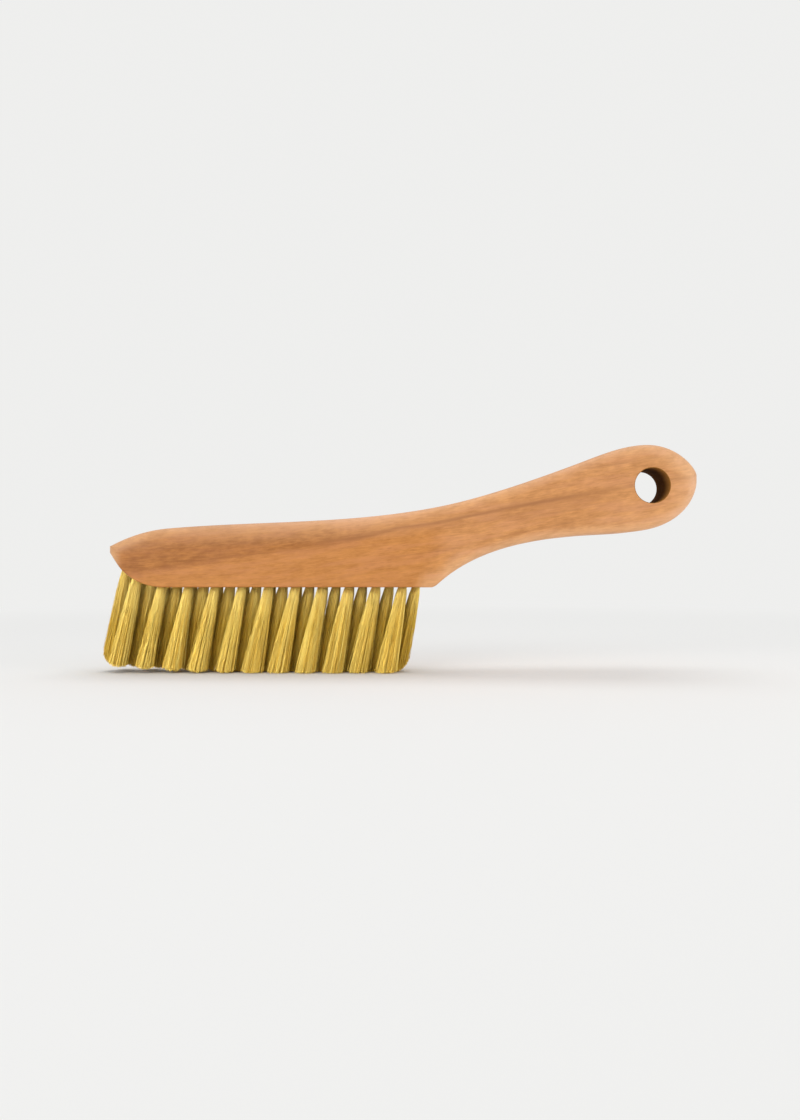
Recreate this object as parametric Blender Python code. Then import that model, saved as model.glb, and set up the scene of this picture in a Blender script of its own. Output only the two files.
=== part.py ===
"""A wire hand brush: a one-piece wooden back with a rising handle and a hanging hole,
and three staggered rows of brass tufts, each folded over a flat staple in a drilled hole.

Metres. +X runs from the nose to the end of the handle, +Z is up, and the brush stands on its wires
at z = 0, with the middle of its length and width at the origin.
"""

import math

import bmesh
import bpy
import numpy as np
from mathutils import Vector

# The back's overall sizes, and how far the foremost wires reach past its nose
BACK_WIDTH = 0.024
HEAD_LENGTH = 0.1368
HANDLE_LENGTH = 0.1104
WIRE_OVERHANG = 0.0036

# The side profile of the head: heights above the flat underside, and lengths from the nose and the heel
NOSE_HEIGHT = 0.0160
NOSE_DEPTH = 0.0020
NOSE_LENGTH = 0.0244
BROW_HEIGHT = 0.0247
HEEL_HEIGHT = 0.0335
HEEL_ROUND = 0.0030

# The side profile of the handle: how far its top rises from place to place, and its depth there
NECK_LENGTH = 0.0320
NECK_RISE = 0.0085
NECK_DEPTH = 0.0249
GRIP_RISE = 0.0102
GRIP_DEPTH = 0.0305
BULB_LENGTH = 0.0206
BULB_RISE = 0.0077
BULB_DEPTH = 0.0356
END_DROP = 0.0141
END_DEPTH = 0.0020

# The slopes of the upper and the lower edge at those places
NOSE_SLOPE = math.radians(29.0)
BROW_SLOPE = math.radians(5.0)
HEEL_SLOPE = math.radians(10.8)
NECK_SLOPE = math.radians(18.0)
GRIP_SLOPE = math.radians(20.7)
UNDERCUT_SLOPE = math.radians(-57.0)
SWEEP_SLOPE = math.radians(42.0)
NECK_LOWER_SLOPE = math.radians(15.0)
GRIP_LOWER_SLOPE = math.radians(5.0)
BULB_LOWER_SLOPE = math.radians(11.5)
UPRIGHT = math.pi / 2

# How full the curves between those places are: an even curve leaves both ends by a third of its span
EVEN = 1 / 3
UNDERCUT_FULLNESS = 0.40
BULB_TOP_FULLNESS = 0.52
BULB_LOWER_FULLNESS = 0.50
END_TOP_FULLNESS = 0.13
END_LOWER_FULLNESS = 0.26

# How the back's edges are eased: broad along the top and the handle, nearly crisp beside the wires
EDGE_ROUND = 0.0045
WIRE_EDGE_ROUND = 0.0008
NOSE_CORNER = 0.0060
SWEEP_BLEND = 0.0220
NOSE_BLEND = 0.0070
WIDEST_ROUND = 0.9

# Hanging hole, a little above the middle of the handle's depth
HANG_HOLE_DIAMETER = 0.01472
HANG_HOLE_FROM_END = 0.0194
HANG_HOLE_RISE = 0.0004

# Wire field: rows along the head, drilled at a slant, so that the wires lean towards the nose
FREE_WIRE = 0.0362
MIDDLE_TUFTS = 12
NOSE_MARGIN = 0.0043
HEEL_MARGIN = 0.0076
ROW_SPACING = 0.0044
LEAN = math.radians(11.0)
SPLAY = math.radians(3.8)
HOLE_DIAMETER = 0.0045
HOLE_DEPTH = 0.0085

# A tuft in its hole: the bundle, the ridge where it folds, and the staple through the fold
BUNDLE_CLEARANCE = 0.00035
BUNDLE_RECESS = 0.0006
FOLD_DEPTH = 0.0012
FOLD_ACROSS = 0.45
FOLD_ALONG = 0.78
STAPLE_DEPTH = 0.0016
STAPLE_THICKNESS = 0.00035
STAPLE_PROUD = 0.0001

# A tuft below its hole: two rings of strands that spread until neighbouring tufts nearly meet
OUTER_STRANDS = 9
INNER_STRANDS = 3
INNER_SHARE = 0.48
STRAND_ROOT_WIDTH = 0.00062
STRAND_TIP_WIDTH = 0.00150
STRAND_KEEL = 0.9
STRAND_GAP = 0.00012
TIP_GAP = 0.00150
TUFT_TURN = math.radians(23.5)

# How the tips are trimmed: level at the heel, rising towards the nose, rounded off at both ends
TRIM_LEVEL_LENGTH = 0.045
TRIM_RISE = 0.0041
TRIM_NOSE_ROUND = 0.0072
TRIM_HEEL_ROUND = 0.0075
TRIM_END_REACH = 0.98
TUFT_CROWN = 0.0006
FLAT_CUT = 0.0005

# How finely round shapes are faceted
CURVE_STEPS = 24
EDGE_STEPS = 4
NOSE_RIBS = 10
HEAD_RIBS = 10
HEEL_RIBS = 4
HANDLE_RIBS = 16
END_RIBS = 12
HOLE_SIDES = 12
HANG_HOLE_SIDES = 40
BUNDLE_SIDES = 8
SHARP_ANGLE = math.radians(35.0)

# Where a thin section crowds the points of its eased edges: their shares of its depth
FIRST_SHARE = 0.30
LAST_SHARE = 0.46

WOOD_COLOUR = (0.578, 0.254, 0.085)
BRASS_COLOUR = (0.680, 0.485, 0.080)

HEEL_X = (HEAD_LENGTH - HANDLE_LENGTH + WIRE_OVERHANG) / 2
NOSE_X = HEEL_X - HEAD_LENGTH
END_X = HEEL_X + HANDLE_LENGTH
NECK_X = HEEL_X + NECK_LENGTH
BULB_X = END_X - BULB_LENGTH
GRIP_X = (NECK_X + BULB_X) / 2
UNDERSIDE = FREE_WIRE
NECK_HEIGHT = HEEL_HEIGHT + NECK_RISE
GRIP_HEIGHT = NECK_HEIGHT + GRIP_RISE
BULB_HEIGHT = GRIP_HEIGHT + BULB_RISE
END_HEIGHT = BULB_HEIGHT - END_DROP
HALF_WIDTH = BACK_WIDTH / 2
TUFT_PITCH = (HEAD_LENGTH - NOSE_MARGIN - HEEL_MARGIN) / (MIDDLE_TUFTS - 1)
TIP_ROW_SPACING = ROW_SPACING + FREE_WIRE * math.tan(SPLAY)
TIP_RADIUS = (math.hypot(TUFT_PITCH / 2, TIP_ROW_SPACING) - TIP_GAP) / 2
BUNDLE_RADIUS = HOLE_DIAMETER / 2 - BUNDLE_CLEARANCE


def knot(x, height, slope, before=EVEN, after=EVEN):
    """A place that the profile passes: its height above the underside, its slope, its fullness."""
    return (x, UNDERSIDE + height, slope, before, after)


def curve(knots):
    """Points along a smooth line through the knots."""
    points = [knots[0][:2]]
    for start, end in zip(knots, knots[1:]):
        span = math.dist(start[:2], end[:2])
        leave = start[4] * span
        arrive = end[3] * span
        corners = (
            start[:2],
            (start[0] + leave * math.cos(start[2]), start[1] + leave * math.sin(start[2])),
            (end[0] - arrive * math.cos(end[2]), end[1] - arrive * math.sin(end[2])),
            end[:2],
        )
        for step in range(1, CURVE_STEPS + 1):
            t = step / CURVE_STEPS
            weights = ((1 - t) ** 3, 3 * (1 - t) ** 2 * t, 3 * (1 - t) * t**2, t**3)
            points.append(tuple(sum(w * c[i] for w, c in zip(weights, corners)) for i in (0, 1)))
    return np.array(points)


def top_line():
    """The upper edge of the side profile, from the nose to the end of the handle."""
    return curve(
        (
            knot(NOSE_X, NOSE_HEIGHT + NOSE_DEPTH / 2, NOSE_SLOPE),
            knot(NOSE_X + NOSE_LENGTH, BROW_HEIGHT, BROW_SLOPE),
            knot(HEEL_X, HEEL_HEIGHT, HEEL_SLOPE),
            knot(NECK_X, NECK_HEIGHT, NECK_SLOPE),
            knot(GRIP_X, GRIP_HEIGHT, GRIP_SLOPE),
            knot(BULB_X, BULB_HEIGHT, 0, after=BULB_TOP_FULLNESS),
            knot(END_X, END_HEIGHT + END_DEPTH / 2, -UPRIGHT, before=END_TOP_FULLNESS),
        )
    )


def lower_line():
    """The lower edge: the undercut nose, the flat underside, the sweep behind the heel, the handle."""
    return curve(
        (
            knot(NOSE_X, NOSE_HEIGHT - NOSE_DEPTH / 2, UNDERCUT_SLOPE, after=UNDERCUT_FULLNESS),
            knot(NOSE_X + NOSE_LENGTH, 0, 0, before=UNDERCUT_FULLNESS),
            knot(HEEL_X - HEEL_ROUND / 2, 0, 0),
            knot(HEEL_X + HEEL_ROUND / 2, HEEL_ROUND / 2, SWEEP_SLOPE),
            knot(NECK_X, NECK_HEIGHT - NECK_DEPTH, NECK_LOWER_SLOPE),
            knot(GRIP_X, GRIP_HEIGHT - GRIP_DEPTH, GRIP_LOWER_SLOPE),
            knot(BULB_X, BULB_HEIGHT - BULB_DEPTH, BULB_LOWER_SLOPE, after=BULB_LOWER_FULLNESS),
            knot(END_X, END_HEIGHT - END_DEPTH / 2, UPRIGHT, before=END_LOWER_FULLNESS),
        )
    )


TOP = top_line()
LOWER = lower_line()


def height_on(line, x):
    return float(np.interp(x, line[:, 0], line[:, 1]))


def distance(point, line):
    """The shortest way from a point to a line of many short runs."""
    start = line[:-1]
    run = line[1:] - start
    along = np.sum((point - start) * run, axis=1) / np.sum(run * run, axis=1)
    nearest = start + np.clip(along, 0, 1)[:, None] * run
    return float(np.min(np.linalg.norm(point - nearest, axis=1)))


def blend(x, start, end):
    """0 before start and 1 past end, with a smooth change between them."""
    t = np.clip((x - start) / (end - start), 0, 1)
    return t * t * (3 - 2 * t)


def lower_round(x):
    """The easing of the lower edge at x: crisp beside the wires, broad at the nose and the handle."""
    share = max(blend(x, NOSE_X + NOSE_BLEND, NOSE_X), blend(x, HEEL_X, HEEL_X + SWEEP_BLEND))
    return WIRE_EDGE_ROUND + share * (EDGE_ROUND - WIRE_EDGE_ROUND)


def half_width(depth, radius):
    """Half the board's width at a depth inside an edge that is rounded over to a radius."""
    radius = min(radius, HALF_WIDTH * WIDEST_ROUND)
    short = max(radius - depth, 0)
    return HALF_WIDTH - radius + math.sqrt(radius**2 - short**2)


def rib(x):
    """The back's section at x: points up one side, from the lower edge to the upper, as (y, z)."""
    bottom = height_on(LOWER, x)
    top = height_on(TOP, x)
    reach = WIRE_EDGE_ROUND / 4
    heights = []
    for line, base, radius, up in ((LOWER, bottom, lower_round(x), 1), (TOP, top, EDGE_ROUND, -1)):
        slope = (height_on(line, x + reach) - height_on(line, x - reach)) / (2 * reach)
        for step in range(EDGE_STEPS + 1):
            share = step / EDGE_STEPS
            depth = radius * (1 - math.cos(math.pi / 2 * share)) * math.hypot(1, slope)
            crowded = (top - bottom) * (FIRST_SHARE + share * (LAST_SHARE - FIRST_SHARE))
            heights.append(base + up * min(depth, crowded))
    side = []
    for z in sorted(heights):
        point = np.array((x, z))
        widths = (
            half_width(distance(point, TOP), EDGE_ROUND),
            half_width(distance(point, LOWER), lower_round(x)),
            half_width(x - NOSE_X, NOSE_CORNER),
            half_width(END_X - x, EDGE_ROUND),
        )
        side.append((min(widths), z))
    return side


def rib_places():
    """Where the back's sections stand: close together at the nose, the heel and the end."""
    brow = NOSE_X + NOSE_LENGTH
    heel = HEEL_X - HEEL_ROUND / 2
    sweep = HEEL_X + HEEL_ROUND / 2
    places = [NOSE_X + NOSE_LENGTH * (i / NOSE_RIBS) ** 2 for i in range(NOSE_RIBS)]
    places += np.linspace(brow, heel, HEAD_RIBS, endpoint=False).tolist()
    places += np.linspace(heel, sweep, HEEL_RIBS, endpoint=False).tolist()
    places += np.linspace(sweep, BULB_X, HANDLE_RIBS, endpoint=False).tolist()
    places += [END_X - BULB_LENGTH * (1 - i / END_RIBS) ** 2 for i in range(END_RIBS + 1)]
    return places


def new_object(name, fill):
    """An object whose mesh the function fill makes, with its faces pointing outwards."""
    mesh = bpy.data.meshes.new(name)
    bm = bmesh.new()
    fill(bm)
    bmesh.ops.recalc_face_normals(bm, faces=bm.faces)
    bm.to_mesh(mesh)
    bm.free()
    mesh.shade_smooth()
    mesh.set_sharp_from_angle(angle=SHARP_ANGLE)
    obj = bpy.data.objects.new(name, mesh)
    bpy.context.scene.collection.objects.link(obj)
    return obj


def helper(obj):
    """Marks a shape that only a modifier uses."""
    obj.hide_render = True
    obj.display_type = "WIRE"
    return obj


def boolean(obj, other, operation):
    modifier = obj.modifiers.new(operation.lower(), "BOOLEAN")
    modifier.operation = operation
    modifier.solver = "EXACT"
    modifier.object = other


def material(name, colour, roughness, metallic):
    made = bpy.data.materials.new(name)
    made.use_nodes = True
    shader = made.node_tree.nodes["Principled BSDF"]
    shader.inputs["Base Color"].default_value = (*colour, 1)
    shader.inputs["Roughness"].default_value = roughness
    shader.inputs["Metallic"].default_value = metallic
    made.diffuse_color = (*colour, 1)
    return made


def bridge(bm, rings):
    """Walls between rings of as many vertices each, with a face over both ends."""
    for low, high in zip(rings, rings[1:]):
        for i, corner in enumerate(low):
            j = (i + 1) % len(low)
            bm.faces.new((corner, low[j], high[j], high[i]))
    bm.faces.new(rings[0])
    bm.faces.new(rings[-1])


def fill_back(bm):
    rings = []
    for x in rib_places():
        side = rib(x)
        ring = [bm.verts.new((x, -y, z)) for y, z in side]
        ring += [bm.verts.new((x, y, z)) for y, z in reversed(side)]
        rings.append(ring)
    bridge(bm, rings)


def fill_rod(bm, start, end, radius, sides):
    """A round rod between two points."""
    axis = (end - start).normalized()
    across = axis.orthogonal().normalized()
    upright = axis.cross(across)
    rings = []
    for centre in (start, end):
        ring = []
        for i in range(sides):
            turn = math.tau * (i + 0.5) / sides
            ring.append(bm.verts.new(centre + radius * (math.cos(turn) * across + math.sin(turn) * upright)))
        rings.append(ring)
    bridge(bm, rings)


class Tuft:
    """Where one tuft stands: its axis crosses the plane of the underside at (x, y)."""

    def __init__(self, name, x, y, phase):
        self.name = name
        self.phase = phase
        splay = math.copysign(math.tan(SPLAY), y) if y else 0
        self.down = Vector((-math.tan(LEAN), splay, -1)).normalized()
        self.crossing = Vector((x, y, UNDERSIDE))
        self.mouth = self.at_height(self.mouth_height())
        self.forward = Vector((0, 1, 0)).cross(self.down).normalized()
        self.sideways = self.down.cross(self.forward)

    def at_height(self, z):
        return self.crossing + self.down * ((z - UNDERSIDE) / self.down.z)

    def mouth_height(self):
        """The height at which the tuft's axis leaves the wood, above the underside near the nose."""
        head = LOWER[LOWER[:, 0] <= HEEL_X]
        beyond = head[:, 0] - self.crossing.x - math.tan(LEAN) * (head[:, 1] - UNDERSIDE)
        return float(np.interp(0, beyond, head[:, 1]))


def tufts():
    """Every tuft, row by row, numbered from the nose. The outer rows stand half a pitch further on."""
    found = []
    for row, count, y in (
        ("front", MIDDLE_TUFTS - 1, -ROW_SPACING),
        ("middle", MIDDLE_TUFTS, 0.0),
        ("rear", MIDDLE_TUFTS - 1, ROW_SPACING),
    ):
        first = NOSE_X + NOSE_MARGIN + (MIDDLE_TUFTS - count) * TUFT_PITCH / 2
        for i in range(count):
            name = f"{row}_tuft_{i + 1:02d}"
            found.append(Tuft(name, first + i * TUFT_PITCH, y, TUFT_TURN * len(found)))
    return found


def trimmed_height(x, nose_end, heel_end):
    """How high above the floor the tips are cut at x, before the flat cut."""
    level_end = heel_end - TRIM_LEVEL_LENGTH
    height = TRIM_RISE * (max(0, level_end - x) / (level_end - nose_end)) ** 2
    for beyond, radius in ((nose_end - x, TRIM_NOSE_ROUND), (x - heel_end, TRIM_HEEL_ROUND)):
        over = min(max(beyond + radius, 0), TRIM_END_REACH * radius)
        height += radius - math.sqrt(radius**2 - over**2)
    return height


def fill_bundle(bm, tuft):
    """The wires in the hole: a plug with a ridge where they fold over the staple."""
    top = -(HOLE_DEPTH - BUNDLE_CLEARANCE)
    rings = []
    for along, across_share, along_share in (
        (-BUNDLE_RECESS, 1, 1),
        (top + FOLD_DEPTH, 1, 1),
        (top, FOLD_ACROSS, FOLD_ALONG),
    ):
        ring = []
        for i in range(BUNDLE_SIDES):
            turn = math.tau * (i + 0.5) / BUNDLE_SIDES
            out = across_share * math.cos(turn) * tuft.forward + along_share * math.sin(turn) * tuft.sideways
            ring.append(bm.verts.new(along * tuft.down + BUNDLE_RADIUS * out))
        rings.append(ring)
    bridge(bm, rings)


def fill_strands(bm, tuft, ends):
    """The strands, spreading from the bundle to the trimmed tips, and the staple across the fold."""
    floor = tuft.at_height(0)
    base = tuft.mouth - 2 * BUNDLE_RECESS * tuft.down
    root_radius = BUNDLE_RADIUS * math.cos(math.pi / BUNDLE_SIDES) - STRAND_GAP
    for count, share, crown in ((OUTER_STRANDS, 1, TUFT_CROWN), (INNER_STRANDS, INNER_SHARE, 0)):
        for i in range(count):
            turn = tuft.phase + math.tau * i / count
            out = Vector((math.cos(turn), math.sin(turn), 0))
            beside = Vector((-out.y, out.x, 0))
            trimmed = trimmed_height(floor.x + share * TIP_RADIUS * out.x, *ends)
            height = max(0, trimmed + crown - FLAT_CUT)
            rings = ([], [])
            for inward, b in ((0, 0.5), (0, -0.5), (-STRAND_KEEL, 0)):
                start = base + (share * root_radius + inward * STRAND_ROOT_WIDTH) * out
                start = start + b * STRAND_ROOT_WIDTH * beside
                end = floor + (share * TIP_RADIUS + inward * STRAND_TIP_WIDTH) * out
                end = end + b * STRAND_TIP_WIDTH * beside
                end = start.lerp(end, (start.z - height) / (start.z - end.z))
                rings[0].append(bm.verts.new(start - tuft.mouth))
                rings[1].append(bm.verts.new(end - tuft.mouth))
            bridge(bm, rings)
    reach = (BUNDLE_RADIUS + STAPLE_PROUD) * tuft.sideways
    fold = -(HOLE_DEPTH - BUNDLE_CLEARANCE - FOLD_DEPTH)
    rings = ([], [])
    for a, b in ((1, 0), (-1, 0), (-1, 1), (1, 1)):
        middle = (fold + b * STAPLE_DEPTH) * tuft.down + a * STAPLE_THICKNESS / 2 * tuft.forward
        rings[0].append(bm.verts.new(middle - reach))
        rings[1].append(bm.verts.new(middle + reach))
    bridge(bm, rings)


def fill_cutters(bm, field):
    """The hanging hole through the handle and one slanted blind hole for each tuft."""
    x = END_X - HANG_HOLE_FROM_END
    z = (height_on(TOP, x) + height_on(LOWER, x)) / 2 + HANG_HOLE_RISE
    near = Vector((x, -BACK_WIDTH, z))
    far = Vector((x, BACK_WIDTH, z))
    fill_rod(bm, near, far, HANG_HOLE_DIAMETER / 2, HANG_HOLE_SIDES)
    for tuft in field:
        depth = HOLE_DEPTH * tuft.down
        fill_rod(bm, tuft.mouth - depth, tuft.mouth + depth, HOLE_DIAMETER / 2, HOLE_SIDES)


def main():
    for obj in list(bpy.data.objects):
        bpy.data.objects.remove(obj)
    wood = material("oiled_beech", WOOD_COLOUR, 0.5, 0.0)
    brass = material("brass_wire", BRASS_COLOUR, 0.32, 1.0)

    field = tufts()
    back = new_object("wooden_back", fill_back)
    cutters = helper(new_object("hole_cutters", lambda bm: fill_cutters(bm, field)))
    boolean(back, cutters, "DIFFERENCE")
    back.data.materials.append(wood)

    tips = [tuft.at_height(0).x for tuft in field]
    ends = (min(tips) - TIP_RADIUS, max(tips) + TIP_RADIUS)
    for tuft in field:
        bundle = new_object(tuft.name, lambda bm: fill_bundle(bm, tuft))
        strands = helper(new_object(f"strands_of_{tuft.name}", lambda bm: fill_strands(bm, tuft, ends)))
        for obj in (bundle, strands):
            obj.location = tuft.mouth
            obj.data.materials.append(brass)
        boolean(bundle, strands, "UNION")


main()
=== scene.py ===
"""The looks of a brass wire hand brush: its oiled wooden back, the holes bored in it, its tufts of crimped
brass wire, and the pale studio it stands in. Metres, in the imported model's own frame."""

import math

import bmesh
import bpy
import numpy as np
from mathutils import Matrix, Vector


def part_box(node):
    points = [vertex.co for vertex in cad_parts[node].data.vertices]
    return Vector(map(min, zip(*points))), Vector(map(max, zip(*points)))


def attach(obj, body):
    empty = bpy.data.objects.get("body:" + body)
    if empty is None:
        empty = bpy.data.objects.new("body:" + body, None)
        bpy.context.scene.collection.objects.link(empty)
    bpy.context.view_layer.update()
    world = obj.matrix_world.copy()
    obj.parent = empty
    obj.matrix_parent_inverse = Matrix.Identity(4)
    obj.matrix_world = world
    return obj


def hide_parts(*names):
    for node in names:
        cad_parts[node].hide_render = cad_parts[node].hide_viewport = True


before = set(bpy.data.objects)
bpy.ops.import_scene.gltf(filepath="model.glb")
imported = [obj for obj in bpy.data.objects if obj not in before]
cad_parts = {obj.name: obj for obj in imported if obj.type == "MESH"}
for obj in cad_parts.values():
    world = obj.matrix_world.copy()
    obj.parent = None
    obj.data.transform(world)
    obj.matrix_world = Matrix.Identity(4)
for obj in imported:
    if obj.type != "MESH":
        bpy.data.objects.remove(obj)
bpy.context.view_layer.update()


# The carved blank. One board of close-grained hardwood, sawn to a side profile that runs from a blunt,
# undercut nose along the head, up behind the heel and into the handle, then sanded round along its edges:
# broadly on top and on the handle, hardly at all beside the wires.

low_corner, high_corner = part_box("wooden_back")
nose_x, underside = low_corner.x, low_corner.z
end_x = high_corner.x
half_width = high_corner.y
head_length = 0.1368
heel_x = nose_x + head_length
brow_x = nose_x + 0.0244
neck_x = heel_x + 0.0320
bulb_x = end_x - 0.0206
grip_x = (neck_x + bulb_x) / 2
heel_bend = 0.0015
edge_round = 0.0045
wire_edge_round = 0.0008
nose_corner = 0.0060
nose_blend = 0.0070
sweep_blend = 0.0220


def profile_line(*knots, steps=48):
    """A smooth line through knots of (x, height above the underside, slope in degrees, fullness)."""
    points = [knots[0][:2]]
    for start, end in zip(knots, knots[1:]):
        span = math.dist(start[:2], end[:2])
        leave, arrive = span * start[3][1], span * end[3][0]
        leaving, arriving = math.radians(start[2]), math.radians(end[2])
        corners = np.array((
            start[:2],
            (start[0] + leave * math.cos(leaving), start[1] + leave * math.sin(leaving)),
            (end[0] - arrive * math.cos(arriving), end[1] - arrive * math.sin(arriving)),
            end[:2],
        ))
        for t in np.linspace(0, 1, steps + 1)[1:]:
            weights = ((1 - t) ** 3, 3 * (1 - t) ** 2 * t, 3 * (1 - t) * t**2, t**3)
            points.append(tuple(weights @ corners))
    return np.array(points) + (0, underside)


even = (1 / 3, 1 / 3)
top_line = profile_line(
    (nose_x, 0.0170, 29, even),
    (brow_x, 0.0247, 5, even),
    (heel_x, 0.0335, 10.8, even),
    (neck_x, 0.0420, 18, even),
    (grip_x, 0.0522, 20.7, even),
    (bulb_x, 0.0599, 0, (1 / 3, 0.52)),
    (end_x, 0.0468, -90, (0.13, 0)),
)
lower_line = profile_line(
    (nose_x, 0.0150, -57, (0, 0.40)),
    (brow_x, 0, 0, (0.40, 1 / 3)),
    (heel_x - heel_bend, 0, 0, even),
    (heel_x + heel_bend, heel_bend, 42, even),
    (neck_x, 0.0171, 15, even),
    (grip_x, 0.0217, 5, even),
    (bulb_x, 0.0243, 11.5, (1 / 3, 0.50)),
    (end_x, 0.0448, 90, (0.26, 0)),
)


def height_on(line, x):
    """How high a line of the side view runs at x."""
    return np.interp(x, line[:, 0], line[:, 1])


def distance(points, line):
    """How far each point of the side view is from a line of many short runs."""
    start = line[:-1]
    run = line[1:] - start
    away = points[:, None] - start
    along = np.clip((away * run).sum(2) / (run * run).sum(1), 0, 1)
    return np.linalg.norm(away - along[..., None] * run, axis=2).min(1)


def smooth_step(x, start, end):
    """0 up to the start, 1 past the end, and smooth between them."""
    t = np.clip((x - start) / (end - start), 0, 1)
    return t * t * (3 - 2 * t)


def handle_share(x):
    """0 beside the wires, 1 at the nose's tip and on the handle, where the lower edge is rounded too."""
    at_nose = smooth_step(x, nose_x + nose_blend, nose_x)
    return np.maximum(at_nose, smooth_step(x, heel_x, heel_x + sweep_blend))


def lower_round(x):
    """The radius of the lower edge."""
    return wire_edge_round + handle_share(x) * (edge_round - wire_edge_round)


def half_across(depth, radius):
    """Half the board's width at a depth inside an edge that is rounded over to a radius."""
    short = np.maximum(radius - depth, 0)
    return half_width - radius + np.sqrt(radius**2 - short**2)


def ringed_mesh(name, rings):
    """A closed mesh through rings of points, capped at both ends, with its faces turned outwards."""
    count, around = rings.shape[:2]
    number = np.arange(count * around).reshape(count, around)
    after = np.roll(number, -1, axis=1)
    walls = np.stack((number[:-1], after[:-1], after[1:], number[1:]), axis=2).reshape(-1, 4)
    caps = [number[0].tolist(), number[-1].tolist()]
    mesh = bpy.data.meshes.new(name)
    mesh.from_pydata(rings.reshape(-1, 3), [], walls.tolist() + caps)
    bm = bmesh.new()
    bm.from_mesh(mesh)
    bmesh.ops.recalc_face_normals(bm, faces=bm.faces)
    bm.to_mesh(mesh)
    bm.free()
    return mesh


def blank_mesh(edge_steps=10, side_steps=4):
    """The board as closed rings from nose to end, whose points crowd into the rounded edges."""
    nose_ribs, head_ribs, heel_ribs, neck_ribs, end_ribs = 30, 48, 8, 64, 41
    places = np.concatenate((
        nose_x + (brow_x - nose_x) * np.linspace(0, 1, nose_ribs, endpoint=False) ** 2,
        np.linspace(brow_x, heel_x - heel_bend, head_ribs, endpoint=False),
        np.linspace(heel_x - heel_bend, heel_x + heel_bend, heel_ribs, endpoint=False),
        np.linspace(heel_x + heel_bend, bulb_x, neck_ribs, endpoint=False),
        end_x - (end_x - bulb_x) * np.linspace(1, 0, end_ribs) ** 2,
    ))
    bottom, top = height_on(lower_line, places), height_on(top_line, places)
    depth = top - bottom
    share = np.linspace(0, 1, edge_steps + 1)[:, None]
    # Where the board is too thin for both edges, each keeps to its own part of the height.
    crowded = depth * (0.30 + 0.16 * share)
    reach = wire_edge_round / 4
    levels = []
    for line, radius in ((lower_line, lower_round(places)), (top_line, edge_round)):
        slope = (height_on(line, places + reach) - height_on(line, places - reach)) / (2 * reach)
        levels.append(np.minimum(radius * (1 - np.cos(math.pi / 2 * share)) * np.hypot(1, slope), crowded))
    between = np.linspace(0, 1, side_steps + 1)[1:-1, None]
    low, high = bottom + levels[0], (top - levels[1])[::-1]
    heights = np.concatenate((low, low[-1] + between * (high[0] - low[-1]), high))
    spread = np.broadcast_to(places, heights.shape)
    points = np.stack((spread.ravel(), heights.ravel()), axis=1)
    widths = np.minimum.reduce((
        half_across(distance(points, top_line), edge_round),
        half_across(distance(points, lower_line), lower_round(points[:, 0])),
        half_across(points[:, 0] - nose_x, nose_corner),
        half_across(end_x - points[:, 0], edge_round),
    )).reshape(heights.shape)
    ring_y = np.concatenate((-widths, widths[::-1]))
    ring_x = np.concatenate((spread, spread))
    ring_z = np.concatenate((heights, heights[::-1]))
    return ringed_mesh("blank", np.stack((ring_x, ring_y, ring_z), axis=2).transpose(1, 0, 2))


def add_node(tree, kind, inputs=None, **settings):
    """Adds a node. An input given as a socket is linked, and any other value is set."""
    made = tree.nodes.new(kind)
    for key, value in settings.items():
        setattr(made, key, value)
    for key, value in (inputs or {}).items():
        if isinstance(value, bpy.types.NodeSocket):
            tree.links.new(value, made.inputs[key])
        else:
            made.inputs[key].default_value = value
    return made


def calc(tree, operation, *values, clamp=False):
    """One step of arithmetic on numbers or sockets."""
    made = add_node(tree, "ShaderNodeMath", dict(enumerate(values)), operation=operation, use_clamp=clamp)
    return made.outputs[0]


def ramp(tree, value, from_min, from_max, to_min=0.0, to_max=1.0):
    """Maps a value smoothly from one range to another, held at its ends."""
    inputs = {0: value, 1: from_min, 2: from_max, 3: to_min, 4: to_max}
    return add_node(tree, "ShaderNodeMapRange", inputs, interpolation_type="SMOOTHSTEP").outputs[0]


def mixed(tree, share, first, second, blend="MIX"):
    """A colour between two others."""
    inputs = {0: share, 6: first, 7: second}
    return add_node(tree, "ShaderNodeMix", inputs, data_type="RGBA", blend_type=blend).outputs[2]


def noise(tree, vector, scale, detail=2.0, roughness=0.5):
    """A cloudy value about one half."""
    inputs = {"Vector": vector, "Scale": scale, "Detail": detail, "Roughness": roughness}
    return add_node(tree, "ShaderNodeTexNoise", inputs).outputs["Fac"]


def named_tree(name, kind, inputs, outputs):
    """A node tree with its group input node, output node and named sockets."""
    tree = bpy.data.node_groups.new(name, kind)
    for way, sockets in (("INPUT", inputs), ("OUTPUT", outputs)):
        for label, socket_kind in sockets:
            tree.interface.new_socket(label, in_out=way, socket_type=f"NodeSocket{socket_kind}")
    return tree, tree.nodes.new("NodeGroupInput").outputs, tree.nodes.new("NodeGroupOutput").inputs


# The streak climbs from the head into the handle, at streak_height + streak_slope * x + streak_bend * x
# cubed. The growth rings climb towards the board's far side. Up to level_x the fibres lie flatter than
# the streak, by head_lie.

streak_height = 0.0612
streak_slope = 0.21
streak_bend = -2.0
ring_climb = 0.62
head_lie = 0.09
level_x = 0.030
level_blend = 0.040
band_strength = 1.2
cloud_strength = 1.9
fibre_strength = 1.5
shade_tint = (0.57, 0.475, 0.32, 1)
fibre_dryness = 0.16
pore_dryness = 0.2


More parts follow.
